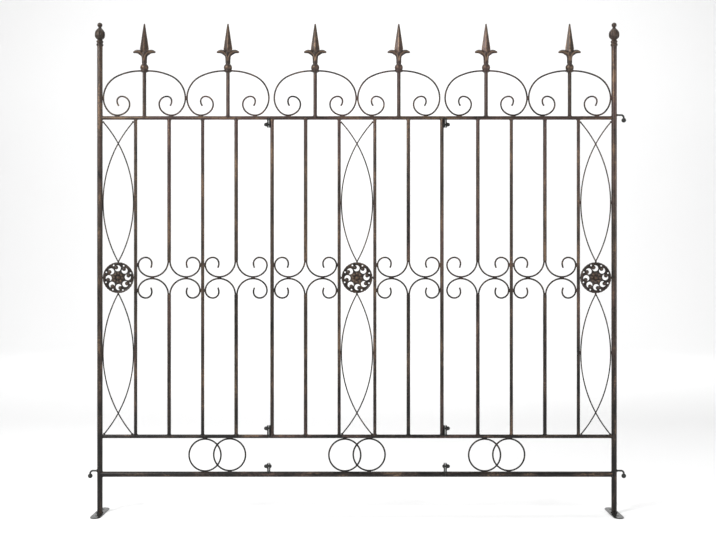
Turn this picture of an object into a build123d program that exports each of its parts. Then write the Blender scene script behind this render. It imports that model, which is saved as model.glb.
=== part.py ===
"""Metal garden fence: three welded sections of round tube and wire, bolted side by side.

The origin is the middle of the left foot plate's underside. X runs along the fence to the right
foot, Y from the front to the back, Z up. Sizes are in millimetres.
"""
from math import asin, cos, degrees, radians, sin, sqrt
import os

from build123d import *

# ---- bays -------------------------------------------------------------------------------------
scroll_bay = 100.5        # between a split bar and the full bar, or stile, beside it
rail_gap = 0.8            # between the rail ends of two sections
joint_scroll_gap = 7.3    # from the stile's outer face to the side section's nearest scroll
arch_end_gap = 9.5        # the arches stop this far inside the stile's outer face

# ---- heights of the axes above the ground -----------------------------------------------------
bottom_rail_z = 118.0
scroll_z = 707.0          # the level at which the upper and lower scrolls meet
top_rail_z = 1186.0
arch_rise = 141.0         # from the top rail's axis to the crown of an arch

# ---- tubes, bars and wires, as radii ----------------------------------------------------------
post_r = 8.0
bottom_rail_r = 8.0
rail_r = 5.5              # top rail and lower rail
stile_r = 5.5
full_bar_r = 4.9
split_bar_r = 5.5
stem_r = 5.5
wire_r = 2.5              # scrolls, arches and rings
cross_wire_r = 1.9
fit = 0.1                 # the clearance left for a weld between round faces
cope_share = 0.45         # a coped end reaches this share of the radius past the other tube's axis

# ---- feet -------------------------------------------------------------------------------------
foot_length = 130.0
foot_width = 30.0
foot_thickness = 3.0
foot_hole_r = 4.0
foot_hole_spacing = 80.0

# ---- rings between the two lowest rails -------------------------------------------------------
ring_outer_r = 50.25
ring_pitch = 73.0         # between the axes of two rings that overlap
side_ring_offset = 352.0  # from the post's axis to the middle of a side section's rings

# ---- scrolls at the split bars ----------------------------------------------------------------
scroll_bend = 48.4        # the first bend, from the bar's end to the middle level
scroll_shoulder = 35.7    # from the middle level up to where the scroll touches the full bar
scroll_curl = 22.5        # the curl over the top
scroll_eye = 18.0         # the curl down the inside
scroll_tail_r = 28.0
scroll_tail_turn = 28.0   # degrees

# ---- arches, measured from one turning point of the wire to the next --------------------------
arch_crown_split = 25.0   # degrees of the crown that are bent at the larger radius
arch_side_drop = 81.7     # from the crown down to the widest place
arch_foot_run = 41.4      # from the widest place in to where the wire rests on the rail
arch_heel = (36.9, 32.9)  # in and up from the rail to the innermost place
arch_curl = 23.5
arch_eye = 14.0
arch_tail_r = 22.0
arch_tail_turn = 40.0     # degrees

# ---- crossed wires and medallions -------------------------------------------------------------
upper_cross_z = 1108.5
lower_cross_z = 301.5
medallion_r = 46.5
medallion_post_gap = 0.55  # on each side, between a post and the bar beside it
medallion_bar_gap = 2.1    # on each side, between the two middle bars
medallion_thickness = 6.0
medallion_stub_r = 4.0
hub_r = 15.0
hub_thickness = 8.0
dome_r = 8.0
dome_rise = 9.5           # from the medallion's middle plane to the front of its dome
comma_count = 8
comma_ring_r = 28.5
comma_r = 5.6
comma_half_turn = 6.0     # degrees of a slot on each side of its middle
rim_hole_ring_r = 39.5
rim_hole_r = 2.8
medallion_turn = 16.6     # degrees that the rim holes are turned past the slots

# ---- spears, measured up from the collar ------------------------------------------------------
collar_r = 10.3
collar_height = 8.7
ball_r = 12.4
ball_rise = 14.0
neck_r = 8.4
neck_top = 38.5
wing_half_span = 34.5
wing_thickness = 8.0
blade_base = 59.5
blade_wide = 71.5
blade_tip = 145.5
blade_half_width = 13.0
blade_half_depth = 6.0
tip_half = 2.0

# ---- post finials, measured up from the post's end --------------------------------------------
post_top_z = 1401.0
finial_collar_r = 10.6
finial_collar_height = 8.0
finial_collar_gap = 1.6
finial_waist_r = 7.5
finial_ball_r = 15.5
finial_ball_rise = 34.5
finial_neck_r = 4.0
finial_tip_r = 7.6
finial_tip_rise = 63.0

# ---- straps and bolts at the section joints ---------------------------------------------------
strap_thickness = 3.5
strap_width = 14.0
strap_inset = 1.0         # of the side section's straps from their rails' ends
strap_past_bolt = 9.0
bolt_r = 3.0
bolt_clear = 0.2
cap_nut_r = 6.2
cap_nut_rise = 3.0        # from the washer to the middle of the nut's dome
washer_r = 7.0
washer_thickness = 1.2
bolt_head_r = 5.5
bolt_head_thickness = 4.0
top_bolt_drop = 20.0      # below the top rail's axis
lower_bolt_rise = 24.0    # above the lower rail's axis
bottom_bolt_rise = 24.0   # above the bottom rail's axis

# ---- hooks on the posts' outer sides ----------------------------------------------------------
hook_r = 2.8
hook_reach = 29.0         # from the post's axis to the ball's axis
hook_bend_r = 8.0
hook_drop = 15.5          # from the arm down to the ball's middle
hook_ball_r = 7.0
lower_hook_z = 128.5
upper_hook_z = 1194.5

# ---- worked out from the sizes above ----------------------------------------------------------
ring_offset = wire_r + fit / 2
ring_path_r = ring_outer_r - wire_r
ring_z = bottom_rail_z + sqrt((bottom_rail_r + wire_r + fit) ** 2 - ring_offset**2) + ring_path_r
lower_rail_z = ring_z + ring_path_r + sqrt((rail_r + wire_r + fit) ** 2 - ring_offset**2)
post_room = 2 * (medallion_r + medallion_post_gap)
bar_room = 2 * (medallion_r + medallion_bar_gap)
wire_bay = bar_room + 2 * full_bar_r
post_bay = post_r + post_room + full_bar_r
stile_x = wire_bay / 2 + 2 * scroll_bay
stile_face_x = stile_x + stile_r
middle_strap_x = stile_face_x + fit
middle_rail_end_x = middle_strap_x + strap_thickness
side_rail_end_x = middle_rail_end_x + rail_gap
side_strap_x = side_rail_end_x + strap_inset
upright_r = max(full_bar_r, stile_r)
scroll_reach = scroll_bay - upright_r - fit
last_bar_x = stile_face_x + joint_scroll_gap + scroll_reach
post_x = last_bar_x + 3 * scroll_bay + post_bay
arch_half = (stile_face_x - arch_end_gap) / 2
bar_bottom_z = lower_rail_z
bar_top_z = top_rail_z
split_end = scroll_bend + wire_r + fit
medallion_meet = medallion_r + cross_wire_r

SIDES = {"left": -1, "right": 1}


def place(offset):
    """The X of a place that lies the given distance right of the fence's middle."""
    return post_x + offset


def rod(start, end, radius):
    """A round rod from one point to another."""
    run = Vector(*end) - Vector(*start)
    return Solid.make_cylinder(radius, run.length, Plane(origin=start, z_dir=run))


def wires_along_x(offset, z, radius, length=4.0):
    """A short cutter along X that copes an upright's end over a rail."""
    x = place(offset)
    half = length * radius
    return rod((x - half, 0, z), (x + half, 0, z), radius + fit)


def quarter(ahead, aside, split=45.0):
    """Two tangent arcs that turn a wire by 90 degrees over the two given distances."""
    if abs(ahead - aside) < fit:
        return [(ahead, 90.0)]
    s, c = sin(radians(split)), cos(radians(split))
    base = s * c - (1 - s) * (1 - c)
    first = (ahead * c - aside * (1 - s)) / base
    second = (aside * s - ahead * (1 - c)) / base
    return [(first, split), (second, 90.0 - split)]


def bent_wire(start, heading, bends, radius, hand=1, lift=1):
    """A wire in the XZ plane that leaves its start at the heading and takes each bend in turn.

    A bend is a radius and a turn to the left in degrees. The shape is drawn for hand 1 and lift 1,
    where -1 mirrors it left to right or upside down about its start.
    """
    x, z, angle = 0.0, 0.0, heading
    origin = Vector(*start)
    edges = []
    for bend_r, turn in bends:
        side = 1 if turn > 0 else -1
        normal = radians(angle + 90 * side)
        cx, cz = x + bend_r * cos(normal), z + bend_r * sin(normal)
        points = []
        for share in (0.0, 0.5, 1.0):
            swing = radians(angle + turn * share - 90 * side)
            px, pz = cx + bend_r * cos(swing), cz + bend_r * sin(swing)
            points.append(origin + Vector(hand * px, 0, lift * pz))
        edges.append(Edge.make_three_point_arc(*points))
        x, z = cx + bend_r * cos(swing), cz + bend_r * sin(swing)
        angle += turn
    path = Wire(edges)
    section = Plane(origin=path @ 0, z_dir=path % 0) * Circle(radius)
    return sweep(section, path=path).solids()[0]


def write(name, *pieces):
    """One file for each node, with each of its pieces as a solid."""
    solids = [solid for piece in pieces for solid in piece.solids()]
    shape = solids[0] if len(solids) == 1 else Compound(solids)
    export_step(shape, os.path.join("parts", name + ".step"))


# ---- rails ------------------------------------------------------------------------------------
def side_rail(side, z, radius):
    """A side section's rail, from its coped end at the post to its square end at the joint."""
    near_post = post_x - post_r * cope_share
    tube = rod((place(side * side_rail_end_x), 0, z), (place(side * near_post), 0, z), radius)
    x = place(side * post_x)
    cutter = rod((x, 0, z - 3 * radius), (x, 0, z + 3 * radius), post_r + fit)
    return tube - cutter


def middle_rail(z, radius):
    """A rail of the middle section, which runs past its stiles and straps."""
    return rod((place(-middle_rail_end_x), 0, z), (place(middle_rail_end_x), 0, z), radius)


# ---- uprights ---------------------------------------------------------------------------------
def upright(offset, radius, bottom=None, top=None):
    """A bar that is coped over the lower rail, the top rail, or both."""
    low = bar_bottom_z + rail_r * cope_share if bottom is None else bottom
    high = bar_top_z - rail_r * cope_share if top is None else top
    bar = rod((place(offset), 0, low), (place(offset), 0, high), radius)
    if bottom is None:
        bar = bar - wires_along_x(offset, lower_rail_z, rail_r)
    if top is None:
        bar = bar - wires_along_x(offset, top_rail_z, rail_r)
    return bar


def split_bar(offset):
    """The lower and upper halves of a bar that opens into scrolls at its middle."""
    return [upright(offset, split_bar_r, top=scroll_z - split_end),
            upright(offset, split_bar_r, bottom=scroll_z + split_end)]


def bars(full_offsets, split_offsets):
    """All the uprights of one section between its rails."""
    pieces = [upright(offset, full_bar_r) for offset in full_offsets]
    for offset in split_offsets:
        pieces += split_bar(offset)
    return pieces


# ---- wires ------------------------------------------------------------------------------------
def scrolls(offset):
    """Four scrolls that leave the ends of a split bar and curl beside the bars next to it."""
    start = wire_r + fit
    run = scroll_reach - wire_r - start - scroll_bend
    bends = [(scroll_bend, 90.0)]
    bends += quarter(run, scroll_shoulder)
    bends += [(scroll_curl, 90.0), (scroll_eye, 90.0), (scroll_tail_r, scroll_tail_turn)]
    pieces = []
    for hand in (-1, 1):
        for lift in (-1, 1):
            origin = (place(offset) + hand * start, 0, scroll_z + lift * split_end)
            pieces.append(bent_wire(origin, -90.0, bends, wire_r, hand, lift))
    return pieces


def arch(offset):
    """Two half arches that spring from a spear's collar and curl in on the top rail."""
    start = collar_r + fit
    out = arch_half - wire_r - fit - start
    foot_drop = arch_rise - arch_side_drop - rail_r - wire_r - fit
    bends = quarter(out, arch_side_drop, arch_crown_split)
    bends += quarter(foot_drop, arch_foot_run)
    bends += quarter(*arch_heel)
    bends += [(arch_curl, 90.0), (arch_eye, 90.0), (arch_tail_r, arch_tail_turn)]
    bends = [(bend_r, -turn) for bend_r, turn in bends]
    pieces = []
    for hand in (-1, 1):
        origin = (place(offset) + hand * start, 0, top_rail_z + arch_rise)
        pieces.append(bent_wire(origin, 0.0, bends, wire_r, hand))
    return pieces


def cross_wires(offset, room):
    """Four bowed wires: each pair crosses near a rail and closes on the medallion.

    Each wire is one arc. It stands highest off the bay's middle halfway between the crossing and
    the medallion, where it touches the upright, and it ends in the corner of the other upright
    and the rail.
    The two wires of a pair pass one in front of the other.
    """
    bow = room - cross_wire_r - fit
    pieces = []
    for cross_z, rail_z in ((upper_cross_z, top_rail_z), (lower_cross_z, lower_rail_z)):
        lift = 1 if cross_z > scroll_z else -1
        meet_z = scroll_z + lift * medallion_meet
        half = abs(cross_z - meet_z) / 2
        arc_r = (half**2 + bow**2) / (2 * bow)
        sweep_in = degrees(asin(half / arc_r))
        rise_to_upright = sqrt(arc_r**2 - (arc_r - 2 * bow) ** 2)
        rise_to_rail = abs(rail_z - meet_z) - half - rail_r - fit - cross_wire_r
        sweep_out = degrees(asin(min(rise_to_upright, rise_to_rail) / arc_r))
        for hand in (-1, 1):
            origin = (place(offset), hand * (cross_wire_r + fit / 2), meet_z)
            heading = 90.0 - sweep_in
            bends = [(arc_r, sweep_in + sweep_out)]
            pieces.append(bent_wire(origin, heading, bends, cross_wire_r, hand, lift))
    return pieces


def rings(offset):
    """Two rings that overlap, one in front of the other, between the two lowest rails."""
    pieces = []
    for hand in (-1, 1):
        x = place(offset) + hand * ring_pitch / 2
        ring = Solid.make_torus(ring_outer_r - wire_r, wire_r,
                                Plane(origin=(x, hand * ring_offset, ring_z), z_dir=(0, 1, 0)))
        pieces.append(ring)
    return pieces


# ---- castings ---------------------------------------------------------------------------------
def medallion(offset, room_left, room_right):
    """An openwork disc with a domed hub, and a stub on each side that reaches the upright."""
    front = Plane(origin=(place(offset), medallion_thickness / 2, scroll_z), x_dir=(1, 0, 0),
                  z_dir=(0, -1, 0))
    sketch = Circle(medallion_r)
    for index in range(comma_count):
        turn = index * 360.0 / comma_count
        slot = SlotArc(CenterArc((0, 0), comma_ring_r, turn - comma_half_turn, 2 * comma_half_turn),
                       2 * comma_r)
        hole = PolarLocations(rim_hole_ring_r, 1, start_angle=turn + medallion_turn) * Circle(rim_hole_r)
        sketch = sketch - slot - hole
    disc = extrude(front * sketch, medallion_thickness)
    hub = rod((place(offset), -hub_thickness / 2, scroll_z),
              (place(offset), medallion_thickness / 2, scroll_z), hub_r)
    dome = Pos(place(offset), dome_r - dome_rise, scroll_z) * Sphere(dome_r)
    body = disc + hub + dome
    for hand, room in ((-1, room_left), (1, room_right)):
        inner = place(offset) + hand * (medallion_r - medallion_stub_r)
        outer = place(offset) + hand * (room - fit)
        body = body + rod((inner, 0, scroll_z), (outer, 0, scroll_z), medallion_stub_r)
    return body.solids()[0]


def spear(offset):
    """A spear: stem on the top rail, collar, ball, neck, two wings and a ridged blade."""
    x = place(offset)
    base = top_rail_z + arch_rise - collar_height / 2
    stem_foot = top_rail_z + rail_r * cope_share
    stem = rod((x, 0, stem_foot), (x, 0, base + ball_rise), stem_r) - wires_along_x(
        offset, top_rail_z, rail_r)
    collar = rod((x, 0, base), (x, 0, base + collar_height), collar_r)
    ball = Pos(x, 0, base + ball_rise) * Sphere(ball_r)
    neck = rod((x, 0, base + ball_rise), (x, 0, base + blade_wide), neck_r)
    neck = neck - Pos(x, 0, 0) * extrude(
        Plane.XY.offset(base + blade_base) * Rectangle(4 * neck_r, 4 * neck_r), blade_wide)
    outline = Plane.XZ * make_face(Polyline(
        (x - neck_r, base + neck_top), (x + neck_r, base + neck_top),
        (x + blade_half_width, base + blade_base - 6), (x + wing_half_span, base + blade_base),
        (x + wing_half_span, base + blade_base + 4), (x + blade_half_width, base + blade_wide),
        (x - blade_half_width, base + blade_wide), (x - wing_half_span, base + blade_base + 4),
        (x - wing_half_span, base + blade_base), (x - blade_half_width, base + blade_base - 6),
        close=True))
    wings = extrude(outline, wing_thickness / 2, both=True)
    blade = loft([Plane.XY.offset(base + z) * Pos(x, 0) * Polygon(
        (half, 0), (0, deep), (-half, 0), (0, -deep), align=None) for z, half, deep in (
            (blade_wide, blade_half_width, blade_half_depth), (blade_tip, tip_half, tip_half))])
    return (stem + collar + ball + neck + wings + blade).solids()[0]


def finial(side):
    """A post's finial: two rings, a large ball, a neck and a small ball."""
    x = place(side * post_x)
    base = post_top_z
    second = base + finial_collar_height + finial_collar_gap
    ball_z = base + finial_ball_rise
    tip_z = base + finial_tip_rise
    body = rod((x, 0, base), (x, 0, base + finial_collar_height), finial_collar_r)
    body = body + rod((x, 0, second), (x, 0, second + finial_collar_height), finial_collar_r)
    body = body + rod((x, 0, base), (x, 0, ball_z), finial_waist_r)
    body = body + Pos(x, 0, ball_z) * Sphere(finial_ball_r)
    body = body + rod((x, 0, ball_z), (x, 0, tip_z), finial_neck_r)
    body = body + Pos(x, 0, tip_z) * Sphere(finial_tip_r)
    return body.solids()[0]


# ---- posts and feet ---------------------------------------------------------------------------
def post(side):
    """A post from its foot plate up to its finial."""
    x = place(side * post_x)
    return rod((x, 0, foot_thickness), (x, 0, post_top_z), post_r)


def foot_plate(side):
    """An oblong plate with round ends that runs from front to back, with two screw holes."""
    straight = foot_length - foot_width
    shape = Rot(0, 0, 90) * SlotCenterToCenter(straight, foot_width)
    for end in (-1, 1):
        shape = shape - Pos(0, end * foot_hole_spacing / 2) * Circle(foot_hole_r)
    return extrude(Pos(place(side * post_x), 0, 0) * shape, foot_thickness)


def hook(side, z):
    """A bent rod on the post's outer side with a ball on its end, which drops into an eye."""
    start = post_r + fit
    arm = hook_reach - hook_bend_r - start
    x = place(side * post_x)
    straight = rod((x + side * start, 0, z), (x + side * (start + arm), 0, z), hook_r)
    bend = bent_wire((x + side * (start + arm), 0, z), 0.0, [(hook_bend_r, -90.0)], hook_r, side)
    ball_z = z - hook_drop
    drop = rod((x + side * hook_reach, 0, z - hook_bend_r), (x + side * hook_reach, 0, ball_z), hook_r)
    ball = Pos(x + side * hook_reach, 0, ball_z) * Sphere(hook_ball_r)
    return (straight + bend + drop + ball).solids()[0]


# ---- section joints ---------------------------------------------------------------------------
JOINTS = ((top_rail_z, rail_r, -top_bolt_drop),
          (lower_rail_z, rail_r, lower_bolt_rise),
          (bottom_rail_z, bottom_rail_r, bottom_bolt_rise))


def straps(side, inner):
    """Three flat straps welded to a section's rails at one end, each with a hole for its bolt."""
    pieces = []
    for rail_z, radius, bolt_rise in JOINTS:
        way = 1 if bolt_rise > 0 else -1
        far = rail_z + bolt_rise + way * strap_past_bolt
        near = rail_z + way * radius * cope_share
        x = place(side * inner) + side * strap_thickness / 2
        plate = Pos(x, 0, (near + far) / 2) * Box(strap_thickness, strap_width, abs(far - near))
        plate = plate - rod((x - strap_thickness, 0, rail_z), (x + strap_thickness, 0, rail_z),
                            radius + fit)
        hole = rod((x - strap_thickness, 0, rail_z + bolt_rise),
                   (x + strap_thickness, 0, rail_z + bolt_rise), bolt_r + bolt_clear)
        pieces.append(plate - hole)
    return pieces


def joint_bolts(side):
    """Three bolts through the facing straps, each with a washer and a cap nut on its outer end.

    Two start against the stile. The bottom one stands clear of it and has a head on its inner end.
    """
    inner = middle_strap_x + fit
    head = middle_strap_x - fit - bolt_head_thickness
    outer = side_strap_x + strap_thickness + fit
    dome = outer + washer_thickness + cap_nut_rise
    pieces = []
    for rail_z, radius, bolt_rise in JOINTS:
        z = rail_z + bolt_rise
        shank = rod((place(side * inner), 0, z), (place(side * dome), 0, z), bolt_r)
        washer = rod((place(side * outer), 0, z), (place(side * (outer + washer_thickness)), 0, z),
                     washer_r)
        if rail_z == bottom_rail_z:
            back = rod((place(side * head), 0, z), (place(side * (middle_strap_x - fit)), 0, z), bolt_head_r)
            neck = rod((place(side * head), 0, z), (place(side * inner), 0, z), bolt_r)
            shank = shank + neck + back
        nut = Pos(place(side * dome), 0, z) * Sphere(cap_nut_r)
        room = extrude(Plane(origin=(place(side * outer), 0, z), z_dir=(side, 0, 0))
                       * Rectangle(4 * cap_nut_r, 4 * cap_nut_r), 4 * cap_nut_r)
        pieces.append((shank + washer + (nut & room)).solids()[0])
    return pieces


# ---- the fence --------------------------------------------------------------------------------
def side_section(name, side):
    """A post with everything welded to it, up to the joint with the middle section."""
    full = [side * (last_bar_x + scroll_bay), side * (last_bar_x + 3 * scroll_bay)]
    split = [side * last_bar_x, side * (last_bar_x + 2 * scroll_bay)]
    outer_spear = post_x - post_r - fit - arch_half
    spears = [side * outer_spear, side * (outer_spear - 2 * arch_half)]
    medal = side * (post_x - post_r - post_room / 2)
    write(name + "_post", post(side))
    write(name + "_post_finial", finial(side))
    write(name + "_foot_plate", foot_plate(side))
    write(name + "_top_rail", side_rail(side, top_rail_z, rail_r))
    write(name + "_lower_rail", side_rail(side, lower_rail_z, rail_r))
    write(name + "_bottom_rail", side_rail(side, bottom_rail_z, bottom_rail_r))
    write(name + "_bars", *bars(full, split))
    write(name + "_scrolls", *(wire for offset in split for wire in scrolls(offset)))
    write(name + "_arches", *(wire for offset in spears for wire in arch(offset)))
    write(name + "_spears", *(spear(offset) for offset in spears))
    write(name + "_cross_wires", *cross_wires(medal, post_room / 2))
    write(name + "_medallion", medallion(medal, post_room / 2, post_room / 2))
    write(name + "_rings", *rings(side * (post_x - side_ring_offset)))
    write(name + "_joint_straps", *straps(side, side_strap_x))
    write(name + "_joint_bolts", *joint_bolts(side))
    hooks = [hook(side, lower_hook_z)]
    if side > 0:
        hooks.append(hook(side, upper_hook_z))
    write(name + "_hooks", *hooks)


def middle_section():
    """The section between the two joints, which the side sections carry."""
    full = [-wire_bay / 2, wire_bay / 2]
    split = [-wire_bay / 2 - scroll_bay, wire_bay / 2 + scroll_bay]
    spears = [-arch_half, arch_half]
    room = bar_room / 2
    write("middle_top_rail", middle_rail(top_rail_z, rail_r))
    write("middle_lower_rail", middle_rail(lower_rail_z, rail_r))
    write("middle_bottom_rail", middle_rail(bottom_rail_z, bottom_rail_r))
    write("middle_bars", *bars(full, split))
    write("middle_scrolls", *(wire for offset in split for wire in scrolls(offset)))
    write("middle_arches", *(wire for offset in spears for wire in arch(offset)))
    write("middle_spears", *(spear(offset) for offset in spears))
    write("middle_cross_wires", *cross_wires(0.0, room))
    write("middle_medallion", medallion(0.0, room, room))
    write("middle_rings", *rings(0.0))
    for name, side in SIDES.items():
        write("middle_" + name + "_stile", upright(side * stile_x, stile_r))
        write("middle_" + name + "_straps", *straps(side, middle_strap_x))


os.makedirs("parts", exist_ok=True)
for section, hand_side in SIDES.items():
    side_section(section, hand_side)
middle_section()
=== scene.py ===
"""Ornamental garden fence: castings, wires, welds, fittings and paint around the fixed frame."""
from math import cos, pi, radians, sin, sqrt

import bmesh
import bpy
import numpy as np
from bpy.props import FloatProperty, FloatVectorProperty, IntProperty, PointerProperty
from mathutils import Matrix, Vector


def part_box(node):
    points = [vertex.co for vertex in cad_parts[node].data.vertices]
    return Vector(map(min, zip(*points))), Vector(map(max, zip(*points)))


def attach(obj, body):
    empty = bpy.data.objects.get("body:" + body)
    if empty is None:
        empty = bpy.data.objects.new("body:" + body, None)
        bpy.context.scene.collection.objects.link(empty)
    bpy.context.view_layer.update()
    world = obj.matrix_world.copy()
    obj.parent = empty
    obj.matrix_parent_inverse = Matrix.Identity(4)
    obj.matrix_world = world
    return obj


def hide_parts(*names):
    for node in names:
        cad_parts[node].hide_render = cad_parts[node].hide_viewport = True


bl_info = {
    "name": "Garden Fence Dressing",
    "version": (1, 0, 0),
    "blender": (4, 5, 0),
    "location": "View3D > Sidebar > Fence",
    "description": "Castings, wires, welds, bolts, paint and a studio for an ornamental garden fence",
    "category": "Object",
}

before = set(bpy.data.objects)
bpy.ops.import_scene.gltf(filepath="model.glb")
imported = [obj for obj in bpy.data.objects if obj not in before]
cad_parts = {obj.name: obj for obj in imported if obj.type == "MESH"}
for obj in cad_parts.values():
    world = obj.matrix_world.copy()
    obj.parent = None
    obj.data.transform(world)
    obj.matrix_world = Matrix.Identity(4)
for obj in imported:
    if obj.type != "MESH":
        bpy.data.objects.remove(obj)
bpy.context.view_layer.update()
BODY = "root"
SECTIONS = ("left", "middle", "right")
MM = 0.001
SPEAR_RISE = 145.5 * MM  # from a spear's seat to its tip
SPEAR_STEM_R = 5.5 * MM
COLLAR_R = 10.3 * MM
HOOK_R = 2.8 * MM
BOLT_HEAD_R = 5.5 * MM
SHANK_R = 2.9 * MM
WASHER_R, WASHER = 7.0 * MM, 1.2 * MM
NUT_R, NUT = 6.2 * MM, 3.6 * MM
FOOT_WELD_R = 8.6 * MM
NEIGHBOUR = 0.13  # uprights nearer than this stand beside each other
ARCH_TURN = (36.9 * MM, 32.9 * MM)  # how far an arch runs and rises from the rail to its eye
UPPER_CROSSING_Z, LOWER_CROSSING_Z = 1108.5 * MM, 301.5 * MM


# ---- places read from the frame ---------------------------------------------------------------
def box(node):
    """The lowest and highest corner of a frame node, as arrays in metres."""
    low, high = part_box(node)
    return np.array(low, float), np.array(high, float)


def centre(node):
    """The middle of a frame node's box."""
    low, high = box(node)
    return (low + high) / 2


def clusters(node, axis=0, gap=0.02):
    """The boxes of a node's vertices where they fall into groups a gap apart along one axis."""
    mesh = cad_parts[node].data
    points = np.empty(len(mesh.vertices) * 3)
    mesh.vertices.foreach_get("co", points)
    points = points.reshape(-1, 3)
    points = points[np.argsort(points[:, axis])]
    cuts = np.nonzero(np.diff(points[:, axis]) > gap)[0] + 1
    return [(group.min(0), group.max(0)) for group in np.split(points, cuts)]


def half(node, axis):
    """Half of a frame node's size along one axis."""
    low, high = box(node)
    return float(high[axis] - low[axis]) / 2


POST_R = half("left_post", 0)
RAIL_R = half("middle_top_rail", 2)
LOW_RAIL_R = half("middle_bottom_rail", 2)
TOP_Z = float(centre("middle_top_rail")[2])
LOWER_Z = float(centre("middle_lower_rail")[2])
BOTTOM_Z = float(centre("middle_bottom_rail")[2])
SCROLL_Z = float(centre("middle_medallion")[2])
STILE_R = half("middle_left_stile", 0)
MIDDLE_X = float(centre("middle_medallion")[0])
POST_X = {"left": float(centre("left_post")[0]), "right": float(centre("right_post")[0])}


def spear_axes(section):
    """The X of each spear, the middle of its wings' tips."""
    return [float((low[0] + high[0]) / 2) for low, high in clusters(section + "_spears", gap=0.1)]


def uprights(section):
    """The axes of a section's full bars and split bars."""
    found = clusters(section + "_bars")
    spans = [high[0] - low[0] for low, high in found]
    middle = (max(spans) + min(spans)) / 2
    places = [(low[0] + high[0]) / 2 for low, high in found]
    full = [float(x) for x, span in zip(places, spans) if span < middle]
    split = [float(x) for x, span in zip(places, spans) if span >= middle]
    return full, split


# ---- settings ---------------------------------------------------------------------------------
def colour(name, value, description):
    """A colour property with its default."""
    return FloatVectorProperty(name=name, description=description, subtype="COLOR", size=3,
                               min=0.0, max=1.0, default=value)


def number(name, value, description, **limits):
    """A number property."""
    return FloatProperty(name=name, description=description, default=value, **limits)


def length(name, value, description):
    """A length property in metres."""
    return number(name, value, description, unit="LENGTH", min=0.0)


def setting(group):
    """One of the fence's groups of settings."""
    return getattr(bpy.context.scene, "fence_" + group)


class FencePaint(bpy.types.PropertyGroup):
    """Colours of the antique bronze finish."""

    dark: colour("Dark coat", (0.0085, 0.0072, 0.0066), "Black-brown under coat")
    bronze: colour("Bronze", (0.060, 0.045, 0.036), "Main brushed-on bronze")
    copper: colour("Copper", (0.175, 0.116, 0.078), "Rubbed copper patches")
    plum: colour("Plum", (0.080, 0.048, 0.045), "Purplish brown patches")
    black: colour("Fittings", (0.017, 0.0175, 0.016), "Near black of bolts, straps and hooks")
    plate: colour("Foot plates", (0.034, 0.035, 0.033), "Dark grey of the foot plates")
    roughness: number("Roughness", 0.34, "Roughness of the satin paint", min=0.0, max=1.0)


class FenceWires(bpy.types.PropertyGroup):
    """Sizes of the bent wires."""

    radius: length("Wire radius", 2.5 * MM, "Scrolls, arches and rings")
    fit: length("Fit", 0.1 * MM, "Clearance between pieces that are welded together")
    scroll_bend: length("Scroll bend", 48.4 * MM, "First bend of a scroll")
    scroll_shoulder: length("Scroll shoulder", 35.7 * MM, "Rise from the level to the contact")
    scroll_curl: length("Scroll curl", 22.5 * MM, "Curl over the top")
    scroll_eye: length("Scroll eye", 18.0 * MM, "Curl down the inside")
    scroll_tail: length("Scroll tail", 28.0 * MM, "Radius of the last short bend")
    arch_side: length("Arch side", 81.7 * MM, "Drop from the crown to the widest place")
    arch_foot: length("Arch foot", 41.4 * MM, "Run from the widest place to the rail")
    arch_curl: length("Arch curl", 23.5 * MM, "Curl over the top of the eye")
    arch_eye: length("Arch eye", 14.0 * MM, "Curl down the inside of the eye")
    arch_tail: length("Arch tail", 22.0 * MM, "Radius of the last short bend")
    facets: IntProperty(name="Facets", description="Faces round a wire", default=12, min=6, max=24)


class FenceWelds(bpy.types.PropertyGroup):
    """Sizes of the weld beads."""

    bead: length("Bead", 1.35 * MM, "Radius of a bead round a tube")
    blob: length("Blob", 3.1 * MM, "Radius of a lump between two wires")
    lumpiness: number("Lumpiness", 0.22, "How uneven the beads are", min=0.0, max=0.6)


class FenceStudio(bpy.types.PropertyGroup):
    """Camera and light."""

    distance: length("Camera distance", 2.89, "From the camera to the fence")
    height: length("Camera height", 0.72, "Above the floor")
    lens: number("Lens", 48.47, "Focal length in millimetres")
    lift: number("Vertical shift", 0.0047, "Camera shift")
    slide: number("Sideways shift", 0.0014, "Camera shift")
    key: number("Key light", 130.0, "Power in watts")
    fill: number("Fill light", 40.0, "Power in watts")
    floor: number("Floor light", 125.0, "Power in watts")
    backdrop: number("Backdrop light", 300.0, "Power in watts")
    sky: number("Sky", 0.30, "Strength of the even white light")


# ---- shader maths -----------------------------------------------------------------------------
class Signal:
    """A shader socket on which sums and products add their own nodes."""

    def __init__(self, shader, socket):
        self.shader = shader
        self.socket = socket

    def math(self, operation, other, flip=False):
        """The Math node of this socket and a number or socket."""
        pair = (other, self) if flip else (self, other)
        return self.shader.node("ShaderNodeMath", {"operation": operation}, {0: pair[0], 1: pair[1]})

    def __add__(self, other):
        return self.math("ADD", other)

    __radd__ = __add__

    def __sub__(self, other):
        return self.math("SUBTRACT", other)

    def __rsub__(self, other):
        return self.math("SUBTRACT", other, flip=True)

    def __mul__(self, other):
        return self.math("MULTIPLY", other)

    __rmul__ = __mul__

    def step(self, low, high):
        """A smooth step from 0 at low to 1 at high."""
        return self.shader.node("ShaderNodeMapRange", {"interpolation_type": "SMOOTHSTEP"},
                                {"Value": self, "From Min": low, "From Max": high})


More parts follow.
